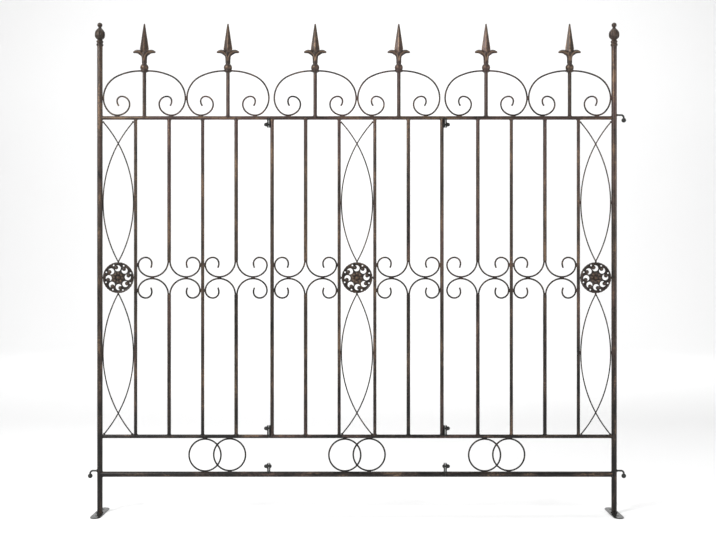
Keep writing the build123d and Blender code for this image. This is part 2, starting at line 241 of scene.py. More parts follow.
class Shader:
    """A material that is built by expressions."""

    def __init__(self, name):
        self.material = bpy.data.materials.new(name)
        self.material.use_nodes = True
        self.tree = self.material.node_tree
        self.surface = self.tree.nodes["Principled BSDF"]

    def node(self, kind, settings=None, inputs=None, output=0):
        """Any node: its settings first, then the values or links of its sockets."""
        made = self.tree.nodes.new(kind)
        for key, value in (settings or {}).items():
            setattr(made, key, value)
        for key, value in (inputs or {}).items():
            self.put(made.inputs[key], value)
        return Signal(self, made.outputs[output])

    def put(self, socket, value):
        """Links a signal to a socket, or sets the socket's own value."""
        if isinstance(value, Signal):
            self.tree.links.new(value.socket, socket)
        elif not isinstance(value, (int, float)):
            opaque = len(value) == 3 and socket.type != "VECTOR"
            socket.default_value = (*value, 1.0) if opaque else tuple(value)
        else:
            socket.default_value = value

    def dress(self, looks):
        """Gives sockets of the surface their values or links."""
        for key, value in looks.items():
            self.put(self.surface.inputs[key], value)

    def noise(self, place, scale, detail=2.0, roughness=0.5):
        """Fractal noise from 0 to 1."""
        return self.node("ShaderNodeTexNoise", None, {"Vector": place, "Scale": scale,
                                                      "Detail": detail, "Roughness": roughness})

    def stretch(self, place, factors):
        """A place with each coordinate multiplied by its factor."""
        return self.node("ShaderNodeVectorMath", {"operation": "MULTIPLY"}, {0: place, 1: factors})

    def blend(self, share, first, second):
        """A colour between two others."""
        return self.node("ShaderNodeMix", {"data_type": "RGBA"}, {0: share, 6: first, 7: second}, 2)

    def bump(self, height, distance, strength=1.0):
        """A normal from a height."""
        return self.node("ShaderNodeBump", None, {"Strength": strength, "Distance": distance,
                                                  "Height": height})


MATERIALS = {}


def brushed_bronze(name, grain, tone, relief):
    """Antique bronze: a dark coat, bronze brushed over it along the grain, copper on rubbed places.

    The grain stretches the brush marks, tone shifts the share of bronze, and relief adds the
    piece's own height, so that hollows stay dark and high edges are rubbed pale.
    """
    paint = setting("paint")
    s = Shader(name)
    place = s.node("ShaderNodeTexCoord", output=3)
    height = s.node("ShaderNodeSeparateXYZ", None, {0: place}, 2)
    marks = s.noise(s.stretch(place, grain), 1.0, 4.0, 0.62)
    cloud = s.noise(place, 7.0, 3.0, 0.6)
    tint = s.noise(s.stretch(place, (1.0, 1.0, 0.7)), 3.1, 2.0)
    mottle = s.noise(place, 170.0, 3.0, 0.6)
    grit = s.noise(place, 850.0, 2.0)
    # darker towards the bottom and paler towards the top: more bronze and more copper higher up
    paler_with_height = height.step(0.05, 0.85) * 0.16
    share = marks * 0.75 + cloud * 0.38 + mottle * 0.34 + paler_with_height
    share = share.step(0.78 - tone * 0.16, 1.02 - tone * 0.16)
    rub = marks * 0.8 + mottle * 0.5 + cloud * 0.5 + paler_with_height * 0.5
    rub = rub.step(1.10 - tone * 0.2, 1.26 - tone * 0.2)
    if relief:
        high = s.node("ShaderNodeAttribute", {"attribute_name": "relief"}, output=2)
        share = share * 0.3 + high.step(0.25, 0.85) * 0.75
        rub = rub * 0.4 + (high * 0.8 + mottle * 0.5).step(0.78, 1.05) * 0.9
    base = s.blend(share, paint.dark, paint.bronze)
    base = s.blend((tint.step(0.50, 0.66) * share) * 0.75, base, paint.plum)
    base = s.blend(rub * 0.8, base, paint.copper)
    s.dress({"Base Color": base,
             "Roughness": paint.roughness + mottle * 0.18 - (1 - share) * 0.06,
             "Metallic": share * 0.35 + rub * 0.30 + 0.15,
             "Normal": s.bump(mottle * 0.7 + marks * 0.5 + grit * 0.12, 0.0007, 0.75),
             "Specular IOR Level": 0.3})
    return s.material


def plain_coat(name, base_colour, lift, roughness, metallic):
    """One coat of paint with specks lift times as pale, scuffs and an uneven gloss."""
    pale = [c * lift for c in base_colour]
    s = Shader(name)
    place = s.node("ShaderNodeTexCoord", output=3)
    cloud = s.noise(place, 26.0, 4.0, 0.6)
    mottle = s.noise(place, 240.0, 3.0)
    scuffs = s.noise(s.stretch(place, (1.0, 0.16, 1.0)), 420.0, 3.0, 0.7)
    share = (cloud * 0.7 + mottle * 0.35).step(0.48, 0.72)
    scratch = scuffs.step(0.60, 0.74)
    base = s.blend(share * 0.8, base_colour, pale)
    base = s.blend(scratch * 0.25, base, [min(1.0, c * 2.2) for c in pale])
    s.dress({"Base Color": base,
             "Roughness": mottle * 0.14 + scratch * 0.12 + roughness,
             "Metallic": share * 0.2 + metallic,
             "Normal": s.bump(mottle * 0.8 + scuffs * 0.2, 0.0004, 0.6)})
    return s.material


# the brush marks' fineness along X, Y and Z, the share of bronze, and whether hollows stay dark
BRONZES = {
    "bronze_upright": ((95.0, 95.0, 13.0), 0.55, False),
    "bronze_rail": ((13.0, 95.0, 95.0), 0.62, False),
    "bronze_wire": ((38.0, 60.0, 38.0), 0.08, False),
    "bronze_cast": ((70.0, 70.0, 30.0), 0.5, True),
    "bronze_weld": ((60.0, 60.0, 60.0), 0.3, False),
}


def finish(name):
    """The paint of that name, mixed when it is first asked for."""
    paint = setting("paint")
    if name not in MATERIALS:
        if name in BRONZES:
            MATERIALS[name] = brushed_bronze(name, *BRONZES[name])
        elif name == "fitting_black":
            MATERIALS[name] = plain_coat(name, paint.black, 1.9, 0.30, 0.35)
        else:
            MATERIALS[name] = plain_coat(name, paint.plate, 2.4, 0.16, 0.5)
    return MATERIALS[name]


def coat(node, paint):
    """Gives a frame node its paint."""
    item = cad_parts[node]
    if not item.material_slots:
        item.data.materials.append(finish(paint))
    for holder in item.material_slots:
        holder.material = finish(paint)


# ---- surfaces ---------------------------------------------------------------------------------
def stand(name, data):
    """A new object for a mesh, a light or a camera, in the scene."""
    item = bpy.data.objects.new(name, data)
    bpy.context.scene.collection.objects.link(item)
    return item


def capped(values):
    """Values with a 0 at both ends, which closes a surface there."""
    return np.concatenate([[0.0], values, [0.0]])


def circle(count):
    """Angles spaced evenly round a full turn."""
    return np.linspace(0, 2 * pi, count, endpoint=False)


def bell(x, middle, width, power=2):
    """A bump of height 1: exp(-((x - middle) / width)^power)."""
    return np.exp(-(((x - middle) / width) ** power))


def cells(rows, columns, wrap_rows=False, wrap_columns=False):
    """The four corners of every cell of a grid, whose rows or columns may close on themselves."""
    row = np.arange(rows if wrap_rows else rows - 1)[:, None]
    column = np.arange(columns if wrap_columns else columns - 1)[None, :]
    next_row, next_column = (row + 1) % rows, (column + 1) % columns
    corners = [row * columns + column, row * columns + next_column,
               next_row * columns + next_column, next_row * columns + column]
    return np.stack(corners, -1).reshape(-1, 4)


class Shell:
    """Collects grids of points and makes one mesh of them."""

    def __init__(self):
        self.points = []
        self.faces = []
        self.relief = []
        self.count = 0

    def add(self, points, quads, relief=None):
        """Adds points and the faces between them."""
        self.points.append(points)
        self.faces.append(quads + self.count)
        self.relief.append(np.full(len(points), 0.5) if relief is None else relief)
        self.count += len(points)

    def grid(self, points, wrap_rows=False, relief=None):
        """Adds a grid of points that closes round its columns, and round its rows if asked."""
        flat = None if relief is None else relief.reshape(-1)
        self.add(points.reshape(-1, 3), cells(*points.shape[:2], wrap_rows, True), flat)

    def build(self, name, paint, slot, sharp=None, replaces=()):
        """Makes the mesh, closes its poles and seams and hands it to the frame."""
        points = np.concatenate(self.points)
        faces = np.concatenate(self.faces)
        mesh = bpy.data.meshes.new(name)
        mesh.from_pydata(points.tolist(), [], faces.tolist())
        mesh.attributes.new("relief", "FLOAT", "POINT")
        mesh.attributes["relief"].data.foreach_set("value", np.concatenate(self.relief))
        soft = bmesh.new()
        soft.from_mesh(mesh)
        bmesh.ops.remove_doubles(soft, verts=soft.verts, dist=2e-6)
        bmesh.ops.dissolve_degenerate(soft, dist=1e-7, edges=soft.edges)
        bmesh.ops.recalc_face_normals(soft, faces=soft.faces)
        soft.to_mesh(mesh)
        soft.free()
        mesh.polygons.foreach_set("use_smooth", np.ones(len(mesh.polygons), bool))
        if sharp is not None:
            mesh.set_sharp_from_angle(angle=radians(sharp))
        mesh.materials.append(finish(paint))
        item = stand(name, mesh)
        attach(item, BODY)
        if replaces:
            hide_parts(*replaces)
        return item


def unit(vectors):
    """Vectors scaled to length 1."""
    return vectors / np.maximum(np.linalg.norm(vectors, axis=-1, keepdims=True), 1e-12)


def ripple(turn, seed, waves=5):
    """A smooth closed curve of about -1 to 1: a sum of sines with fixed random phases."""
    random = np.random.default_rng(seed)
    total = np.zeros_like(turn)
    for wave in range(1, waves + 1):
        total = total + random.normal() / sqrt(wave) * np.sin(wave * turn + random.uniform(0, 2 * pi))
    return total / 1.8


def carry(shell, path, side, across, aside, facets, power=2.0, closed=False, relief=None, run=None):
    """Carries a rounded section along a path.

    At each path point the section is the superellipse |u/a|^p + |v/b|^p = 1, with u towards the
    side vector and v square to it and to the path. a and b may change along the path. The run is
    the path's direction, and is given where two points of the path coincide.
    """
    if run is None:
        run = unit(np.roll(path, -1, 0) - np.roll(path, 1, 0) if closed else np.gradient(path, axis=0))
    side = np.broadcast_to(side, path.shape)
    u = unit(side - (side * run).sum(-1, keepdims=True) * run)
    v = np.cross(run, u)
    turn = circle(facets)
    c = np.sign(np.cos(turn)) * np.abs(np.cos(turn)) ** (2 / power)
    s = np.sign(np.sin(turn)) * np.abs(np.sin(turn)) ** (2 / power)
    a = np.broadcast_to(across, len(path))[:, None, None]
    b = np.broadcast_to(aside, len(path))[:, None, None]
    points = path[:, None] + a * c[:, None] * u[:, None] + b * s[:, None] * v[:, None]
    shades = None if relief is None else np.broadcast_to(relief, points.shape[:2])
    shell.grid(points, closed, shades)


def turned(shell, origin, along, heights, radii, facets=32, shape=None, relief=None):
    """A turned form: the radius at each height, times a shape of the angle and the height."""
    along = unit(np.array(along, float))
    first = unit(np.cross(along, (0.0, 1.0, 0.0) if abs(along[1]) < 0.9 else (1.0, 0.0, 0.0)))
    second = np.cross(along, first)
    turn = circle(facets)
    grid = turn[None, :], heights[:, None]
    r = radii[:, None] * (np.ones((len(heights), facets)) if shape is None else shape(*grid))
    points = (np.array(origin) + heights[:, None, None] * along
              + r[..., None] * (np.cos(turn)[:, None] * first + np.sin(turn)[:, None] * second))
    shades = None if relief is None else np.broadcast_to(relief(*grid), r.shape)
    shell.grid(points, relief=shades)


def outline(stops, steps=6):
    """Heights and radii through the given (height, radius, bulge) stops.

    Each stretch follows r = straight line + bulge * sin(pi t), so a bulge of 0 is a cone, a
    positive one a bead and a negative one a hollow.
    """
    heights, radii = [], []
    for (z0, r0, _), (z1, r1, bulge) in zip(stops[:-1], stops[1:]):
        t = np.linspace(0, 1, steps, endpoint=False)
        heights.append(z0 + (z1 - z0) * t)
        radii.append(r0 + (r1 - r0) * t + bulge * np.sin(pi * t))
    heights.append([stops[-1][0]])
    radii.append([stops[-1][1]])
    return np.concatenate(heights) * MM, np.concatenate(radii) * MM


def ball(z, radius, start=-0.5, end=0.5, steps=10):
    """Heights and radii of a ball between two latitudes, given as shares of a half turn."""
    t = np.linspace(start * pi, end * pi, steps)
    return z + radius * np.sin(t), radius * np.cos(t)


# ---- wires ------------------------------------------------------------------------------------
def quarter(ahead, aside, split=45.0):
    """Two tangent arcs that turn a wire by 90 degrees over the two given distances."""
    if abs(ahead - aside) < 0.1 * MM:
        return [(ahead, 90.0)]
    s, c = sin(radians(split)), cos(radians(split))
    base = s * c - (1 - s) * (1 - c)
    first = (ahead * c - aside * (1 - s)) / base
    second = (aside * s - ahead * (1 - c)) / base
    return [(first, split), (second, 90.0 - split)]


def bent_path(start, heading, bends, hand=1, lift=1, step=2.0 * MM):
    """Points along tangent arcs in the fence's plane, each a radius and a turn in degrees."""
    x = z = 0.0
    angle = radians(heading)
    flat = [np.zeros((1, 2))]
    for radius, turn in bends:
        swing = radians(turn)
        side = 1 if swing > 0 else -1
        count = max(3, int(radius * abs(swing) / step) + 1)
        t = np.linspace(0, swing, count + 1)[1:] + angle
        cx, cz = x - side * radius * sin(angle), z + side * radius * cos(angle)
        flat.append(np.stack([cx + side * radius * np.sin(t), cz - side * radius * np.cos(t)], 1))
        x, z = flat[-1][-1]
        angle += swing
    flat = np.concatenate(flat)
    return np.array(start) + np.stack([hand * flat[:, 0], 0 * flat[:, 0], lift * flat[:, 1]], 1)


def wire(shell, path, radius, seed, closed=False):
    """A wire along a path: slightly uneven from drawing and bending, with rounded cut ends."""
    turn = np.linspace(0, 2 * pi, len(path), endpoint=not closed)
    thick = radius * np.minimum(1 + 0.022 * ripple(3 * turn, seed, 7), 1.03)
    ahead = None
    if not closed:
        run = np.concatenate([[0], np.cumsum(np.linalg.norm(np.diff(path, axis=0), axis=1))])
        inset = 0.35 * radius
        cuts = np.array([0.0, 0.04, 0.15, 0.4, 1.0]) * inset
        inner = run[(run > inset) & (run < run[-1] - inset)]
        places = np.concatenate([cuts, inner, run[-1] - cuts[::-1]])
        end = np.clip(np.minimum(places, places[-1] - places) / inset, 0, 1)
        thick = np.interp(places, run, thick) * (0.62 + 0.38 * np.sqrt(1 - (1 - end) ** 2))
        thick = capped(thick)
        path = np.stack([np.interp(places, run, path[:, k]) for k in range(3)], 1)
        ahead = unit(np.gradient(path, axis=0))
        path, ahead = [np.concatenate([line[:1], line, line[-1:]]) for line in (path, ahead)]
    facets = setting("wires").facets
    carry(shell, path, (0, 1, 0), thick, thick, facets, closed=closed, run=ahead)


def scroll_paths(section):
    """The paths of a section's scrolls, four at each split bar."""
    wires = setting("wires")
    full, split = uprights(section)
    pitch = min(abs(a - b) for a in full for b in split)
    start = wires.radius + wires.fit
    reach = pitch - STILE_R - wires.fit
    bends = [(wires.scroll_bend, 90.0)]
    bends += quarter(reach - wires.radius - start - wires.scroll_bend, wires.scroll_shoulder)
    bends += [(wires.scroll_curl, 90.0), (wires.scroll_eye, 90.0), (wires.scroll_tail, 28.0)]
    end = wires.scroll_bend + wires.radius + wires.fit
    paths = []
    for x in split:
        for hand in (-1, 1):
            for lift in (-1, 1):
                origin = (x + hand * start, 0, SCROLL_Z + lift * end)
                paths.append(bent_path(origin, -90.0, bends, hand, lift))
    return paths


def arch_paths(section):
    """The paths of a section's half arches, two at each spear."""
    wires = setting("wires")
    low, high = box(section + "_arches")
    crown = high[2] - wires.radius
    collar = COLLAR_R + wires.fit
    out = (high[0] - low[0]) / 4 - wires.radius - wires.fit / 2 - collar
    foot = crown - TOP_Z - wires.arch_side - RAIL_R - wires.radius - wires.fit
    bends = quarter(out, wires.arch_side, 25.0) + quarter(foot, wires.arch_foot)
    bends += quarter(*ARCH_TURN)
    bends += [(wires.arch_curl, 90.0), (wires.arch_eye, 90.0), (wires.arch_tail, 40.0)]
    bends = [(radius, -turn) for radius, turn in bends]
    return [bent_path((x + hand * collar, 0, crown), 0.0, bends, hand)
            for x in spear_axes(section) for hand in (-1, 1)]


def cross_radius(section):
    """The radius of a bowed wire: two of them and their clearance make up the node's depth."""
    return (2 * half(section + "_cross_wires", 1) - setting("wires").fit) / 4


def cross_paths(section):
    """The bowed wires above and below a section's medallion: each is one arc."""
    wires = setting("wires")
    x, z = centre(section + "_medallion")[[0, 2]]
    thick = cross_radius(section)
    bow = half(section + "_cross_wires", 0) - thick
    paths = []
    for crossing, rail, lift in ((UPPER_CROSSING_Z, TOP_Z, 1), (LOWER_CROSSING_Z, LOWER_Z, -1)):
        meet = z + lift * (half(section + "_medallion", 2) + thick)
        chord = abs(crossing - meet) / 2
        arc = (chord**2 + bow**2) / (2 * bow)
        inward = np.degrees(np.arcsin(chord / arc))
        rise = min(sqrt(arc**2 - (arc - 2 * bow) ** 2), abs(rail - meet) - chord - RAIL_R - thick)
        bends = [(arc, inward + np.degrees(np.arcsin(rise / arc)))]
        for hand in (-1, 1):
            origin = (x, hand * (thick + wires.fit / 2), meet)
            paths.append(bent_path(origin, 90.0 - inward, bends, hand, lift, 5 * MM))
    return paths


def ring_paths(section):
    """The two closed circles of a section's rings, one in front of the other."""
    wires = setting("wires")
    low, high = box(section + "_rings")
    outer = half(section + "_rings", 2)
    turn, r = circle(72), outer - wires.radius
    z = (low[2] + high[2]) / 2 + r * np.sin(turn)
    return [np.stack([x + r * np.cos(turn), 0 * turn + hand * (wires.radius + wires.fit / 2), z], 1)
            for hand, x in ((-1, low[0] + outer), (1, high[0] - outer))]


# ---- castings ---------------------------------------------------------------------------------
def add_spear(shell, x, base):
    """A spear above a rail: stem, collar, ball and neck are turned, the blade is a tall loft of
    hollow diamonds, and two leaves sweep out of the neck into the wings, each with a round rib
    along its front and back."""
    stem_z, stem_r = (TOP_Z + RAIL_R * 0.45 - base) / MM, SPEAR_STEM_R / MM
    heights, radii = outline([(stem_z, 0, 0), (stem_z, stem_r, 0), (-0.2, stem_r, 0), (0.6, 9.0, 0.6),
                              (4.4, 10.0, 0.3), (7.4, 8.4, 0.5), (8.2, 7.4, 0)], 5)
    ball_z, ball_r = ball(14.0 * MM, 12.3 * MM, -0.27, 0.30)
    neck_z, neck_r = outline([(24.6, 7.2, 0), (29.0, 7.6, -0.4), (43.0, 7.9, -0.3), (57.5, 9.4, 0),
                              (63.5, 5.0, 0.6), (67.5, 0.0, 0)])
    heights = np.concatenate([heights, ball_z, neck_z])
    radii = np.concatenate([radii, ball_r, neck_r])
    turned(shell, (x, 0, base), (0, 0, 1), heights, radii, 28,
           shape=lambda turn, z: 1 + 0.035 * np.cos(6 * turn) * bell(z, 0.042, 0.011),
           relief=lambda turn, z: 0.52 + 0.3 * bell(z, 0.014, 0.007)
           + 0.25 * np.cos(6 * turn) * bell(z, 0.042, 0.012))
    z = np.concatenate([[39.5], np.linspace(39.5, 69.5, 12), np.linspace(71.5, 144.0, 26),
                        [145.0, 145.4, 145.4]])
    wide = np.interp(z, [39.5, 55.5, 63.5, 69.5, 72.5, 141.0, 144.6, 145.5],
                     [0.6, 7.2, 12.0, 13.2, 13.0, 2.7, 2.1, 1.2]) * MM
    deep = np.interp(z, [39.5, 53.5, 65.5, 73.5, 141.0, 144.6, 145.5],
                     [1.0, 8.9, 9.0, 6.8, 2.5, 2.0, 1.2]) * MM
    wide[[0, -1]] = deep[[0, -1]] = 0.0
    path = np.stack([0 * z, 0 * z, z], 1) * MM + (x, 0, base)
    facets = 32
    corners = np.maximum(np.abs(np.sin(circle(facets))), np.abs(np.cos(circle(facets))))
    ridge = 0.42 + 0.58 * np.clip(1.5 * corners - 0.6, 0, 1) ** 2
    carry(shell, path, (1, 0, 0), wide, deep, facets, 1.08, relief=ridge[None, :])
    t = np.linspace(0, 1, 34)
    px = 1.6 + 32.7 * np.clip((t - 0.16) / 0.84, 0, 1) ** 1.9
    droop = 3.6 * np.clip((t - 0.72) / 0.28, 0, 1) ** 2
    pz = 32.0 + 31.0 * np.sin(np.clip(t * 1.12, 0, 1) * pi / 2) ** 1.15 - droop
    wide = np.interp(t, [0, 0.04, 0.3, 0.62, 0.85, 0.97, 1], [0, 2.6, 4.8, 7.0, 5.4, 3.0, 0]) * MM
    deep = np.interp(t, [0, 0.04, 0.3, 0.6, 0.85, 0.97, 1], [0, 7.6, 8.2, 6.4, 4.6, 2.6, 0]) * MM
    facets = 20
    crest = 0.25 + np.abs(np.cos(circle(facets))) ** 3 * 0.8
    for hand in (-1, 1):
        path = np.stack([hand * px, 0 * t, pz], 1) * MM + (x, 0, base)
        carry(shell, path, (0, 1, 0), deep, wide, facets, 1.15, relief=crest[None, :])
        for face in (-1, 1):
            rib = path[1:-1] + np.array([0.0, face, 0.0]) * (0.93 * deep[1:-1])[:, None]
            thick = capped(np.full(len(rib) - 2, 1.25 * MM))
            carry(shell, rib, (0, 1, 0), thick, thick * 1.1, 8, relief=1.0)


def add_finial(shell, x, base):
    """A post finial: two turned rings, a fluted bulb and a small ball."""
    heights, radii = outline([(0, 0, 0), (0, 8.2, 0), (0.4, 9.2, 0), (7.4, 9.2, 1.3), (8.4, 8.0, -0.3),
                              (9.8, 8.6, 0), (16.6, 8.6, 1.6), (17.8, 7.4, 0), (19.6, 7.6, -0.5)], 7)
    bulb_z, bulb_r = outline([(19.6, 7.6, 0), (33.5, 15.4, 2.6), (52.0, 6.6, 3.0), (56.4, 4.2, -0.4)], 14)
    tip_z, tip_r = ball(63.0 * MM, 7.5 * MM, -0.30, 0.5, 12)
    start = len(heights) - 1
    heights = np.concatenate([heights[:start], bulb_z[:-1], tip_z])
    radii = np.concatenate([radii[:start], np.minimum(bulb_r[:-1], 15.5 * MM), tip_r])

    def lobes(turn, z):
        """Eight lobes that turn slightly with height, and how far the bulb shows them."""
        return np.abs(np.cos(4 * turn + 12 * z)), bell(z, 0.037, 0.0125, 4)

    def flutes(turn, z):
        """The lobes' depth, which fades out above and below the bulb."""
        lobe, fade = lobes(turn, z)
        return 1 - 0.11 * fade * (1 - lobe**0.7)

    def shade(turn, z):
        """Pale on the lobes and the ball, dark between them."""
        lobe, fade = lobes(turn, z)
        return 0.5 + fade * (0.45 * lobe - 0.25) + 0.2 * bell(z, 0.0655, 0.004)

    turned(shell, (x, 0, base), (0, 0, 1), heights, radii, 64, flutes, shade)


def crescent_field(x, y):
    """How far a point is inside the casting, in mm, and how near to a volute's knob.

    The openings are eight crescents, each a circle less the knob it curls round, and eight round
    holes near the rim. Distances to circles are combined with the least and the greatest.
    """
    def away(reach, turn):
        """The distance from a point that is given by its radius and its angle in degrees."""
        return np.hypot(x - reach * cos(radians(turn)), y - reach * sin(radians(turn)))

    solid = 46.4 + 0.25 * np.cos(32 * np.arctan2(y, x)) - np.hypot(x, y)
    knob = np.zeros_like(x)
    for turn in np.arange(8) * 45.0 + 3.0:
        curl = away(31.2, turn + 8.5)
        opening = np.maximum(away(28.4, turn) - 8.9, 6.0 - curl)
        solid = np.minimum(solid, np.minimum(opening, away(39.3, turn + 17.5) - 2.25))
        knob = np.maximum(knob, bell(curl, 0.0, 4.0))
    return solid, knob


def add_medallion(shell, x, z, reach):
    """An openwork casting on a polar grid.

    Grid points within half a cell of an outline are moved onto it down the field's slope, and
    cells with a corner outside are left out, or with a corner where four outline edges meet. A
    wall along the outline joins the front and the back. The front's height is a rounded edge
    plus knobs, a rim bead, eight petals and a dome.
    """
    rows, columns, outmost, nudge, wall = 92, 384, 46.9, 0.02, 0.3
    r, turn = np.meshgrid(np.linspace(0.0, outmost, rows), circle(columns), indexing="ij")
    px, py = r * np.cos(turn), r * np.sin(turn)
    cell = outmost / (rows - 1)
    for _ in range(3):
        field, _knob = crescent_field(px, py)
        slope_x = (crescent_field(px + nudge, py)[0] - field) / nudge
        slope_y = (crescent_field(px, py + nudge)[0] - field) / nudge
        near = np.abs(field) < 0.62 * cell
        size = np.maximum(slope_x**2 + slope_y**2, 0.3)
        px = px - np.where(near, field * slope_x / size, 0)
        py = py - np.where(near, field * slope_y / size, 0)
    field, knob = crescent_field(px, py)
    radius, angle = np.hypot(px, py), np.arctan2(py, px)
    edge = np.clip(field / 1.5, 0, 1)
    round_edge = np.sqrt(np.clip(1 - (1 - edge) ** 2, 0, 1))
    rim, inner = bell(radius, 44.4, 1.5), bell(radius, 19.6, 1.1)
    petal = np.sin(pi * np.clip((radius - 7.2) / 10.6, 0, 1)) * np.abs(np.cos(4 * angle + 0.35)) ** 0.75
    seed_ring = 0.5 * bell(radius, 6.6, 0.8)
    dome = np.sqrt(np.clip(1 - (radius / 5.9) ** 2, 0, 1))
    raised = 2.3 + 1.7 * knob + 1.0 * rim + 0.8 * inner + 2.8 * petal + 4.6 * dome - seed_ring
    sides_y = (-np.maximum(round_edge * raised, wall),
               np.maximum(round_edge * (2.3 + 0.5 * rim + 0.6 * petal), wall))
    relief = np.clip(0.25 + 0.5 * knob + 0.4 * rim + 0.6 * petal + 0.6 * dome + 0.2 * inner, 0, 1)
    relief = relief * (0.4 + 0.6 * edge)
    quads = cells(rows, columns, wrap_columns=True)
    quads = quads[(field.reshape(-1) > -0.09)[quads].all(axis=1)]
    for _ in range(6):
        sides = np.concatenate([quads[:, [i, (i + 1) % 4]] for i in range(4)])
        low, high = np.sort(sides, axis=1).T
        _, first, count = np.unique(low * rows * columns + high, return_index=True, return_counts=True)
        outline_sides = sides[first[count == 1]]
        outline_sides = outline_sides[outline_sides.min(axis=1) >= columns]
        crossing = np.bincount(outline_sides.ravel(), minlength=rows * columns) > 2
        if not crossing.any():
            break
        quads = quads[~crossing[quads].any(axis=1)]
    used = np.unique(quads)
    place = np.zeros(rows * columns, int)
    place[used] = np.arange(len(used))
    flat = [np.stack([px, y, py], -1).reshape(-1, 3)[used] for y in sides_y]
    face = place[quads]
    a, b = place[outline_sides].T
    walls = np.stack([b, a, a + len(used), b + len(used)], -1)
    shell.add(np.concatenate(flat) * MM + (x, 0, z),
              np.concatenate([face, face[:, ::-1] + len(used), walls]),
              np.tile(relief.reshape(-1)[used], 2))
    for hand in (-1, 1):
        start = 44.0 * MM
        heights = np.array([0.0, 0.0, 0.2, 0.45, 0.75, 1.0, 1.0]) * (reach - start)
        radii = np.array([0.0, 3.9, 3.6, 3.1, 3.2, 4.0, 0.0]) * MM
        turned(shell, (x + hand * start, 0, z), (hand, 0, 0), heights, radii, 20,
               shape=lambda turn, h: 1 + 0.08 * np.sin(3 * turn + 900 * h))


def add_bolt(shell, x, z, side, inner, outer, head):
    """A joint bolt along the fence: threaded shank, washer, six-sided nut and its dome.

    Where head is more than 0 the bolt also has a round head that thick on its inner end.
    """
    def fit(start, heights, radii, facets, shape=None):
        """A turned part of the bolt, from its distance along the fence outwards."""
        turned(shell, (x + side * start, 0, z), (side, 0, 0), heights, radii, facets, shape)

    if head > 0:
        button_z, button_r = ball(0.0, 1.0, -0.5, 0.0, 9)
        heights = np.concatenate([(1 + button_z) * 0.75 * head, [head * 0.95, head, head]])
        fit(inner, heights, np.concatenate([button_r, [1.0, 0.94, 0.0]]) * BOLT_HEAD_R, 32)
    face = outer + 0.1 * MM
    run = np.linspace(0, abs(face - inner), 60)
    thread = SHANK_R + 0.14 * MM * np.abs(np.sin(run / MM * pi))
    fit(inner, np.concatenate([[0.0], run, run[-1:]]), capped(thread), 20)
    rim = WASHER_R - 0.4 * MM
    fit(face, np.array([0, 0, 0.15, 0.85, 1, 1]) * WASHER, capped([rim, WASHER_R, WASHER_R, rim]), 32)
    shoulder, dome_r = NUT - 0.6 * MM, NUT_R - 0.6 * MM
    cap_z, cap_r = ball(shoulder, dome_r, 0.02, 0.5, 9)
    heights = np.concatenate([[0.0, 0.0, 0.4 * MM, shoulder], cap_z])
    radii = np.concatenate([[0.0, dome_r, NUT_R - 0.1 * MM, NUT_R], cap_r])

    def six_sided(turn, height):
        """A hexagon up to the nut's shoulder and a circle above it."""
        sector = (turn + pi / 6) % (pi / 3) - pi / 6
        hexagon = np.clip(0.88 / np.cos(sector), 0, 1)
        share = np.clip((height - shoulder) / (0.8 * MM), 0, 1)
        return hexagon * (1 - share) + share

    fit(face + WASHER, heights, radii, 48, six_sided)


# ---- welds ------------------------------------------------------------------------------------
def bead_ring(shell, foot, along, across, branch, main, seed):
    """A weld bead round the end of one tube on another.

    The path is where a cylinder of the branch's radius meets the main tube: at angle a it lies
    branch * cos a along the main tube and sqrt(main^2 - (branch sin a)^2) out from its axis.
    """
    welds = setting("welds")
    turn = circle(36)
    along, across = np.array(along, float), np.array(across, float)
    third = np.cross(along, across)
    limit = np.clip(np.abs(branch * np.sin(turn)), 0, main * 0.97)
    out = np.sqrt(main**2 - limit**2)
    uneven = 1 + welds.lumpiness * ripple(turn * 2, seed, 6)
    grown = branch + 0.15 * welds.bead * uneven
    path = (np.array(foot) + out[:, None] * along + (grown * np.cos(turn))[:, None] * across
            + (grown * np.sin(turn))[:, None] * third)
    side = np.cos(turn)[:, None] * across + np.sin(turn)[:, None] * third
    size = welds.bead * np.clip(uneven, 0.6, 1.6)
    carry(shell, path, side, size, size * 1.1, 8, closed=True)


def lump(shell, place, size, seed):
    """A lump of weld: an ellipsoid whose radius changes smoothly with the angle.

    Its half axes are shares of the blob's radius.
    """
    welds = setting("welds")
    turn = circle(14)[None, :]
    rise = np.linspace(-pi / 2, pi / 2, 9)[:, None]
    random = np.random.default_rng(seed)
    a, b, c = random.uniform(0, 2 * pi, 3)
    swell = 1 + welds.lumpiness * (0.6 * np.sin(2 * turn + a) * np.cos(rise)
                                   + 0.5 * np.sin(3 * turn + 2 * rise + b) * np.cos(rise) ** 2
                                   + 0.4 * np.sin(2 * rise + c))
    points = np.stack([swell * np.cos(rise) * np.cos(turn), swell * np.cos(rise) * np.sin(turn),
                       swell * np.sin(rise) * np.ones_like(turn)], -1)
    shell.grid(np.array(place) + points * (np.array(size) * welds.blob))


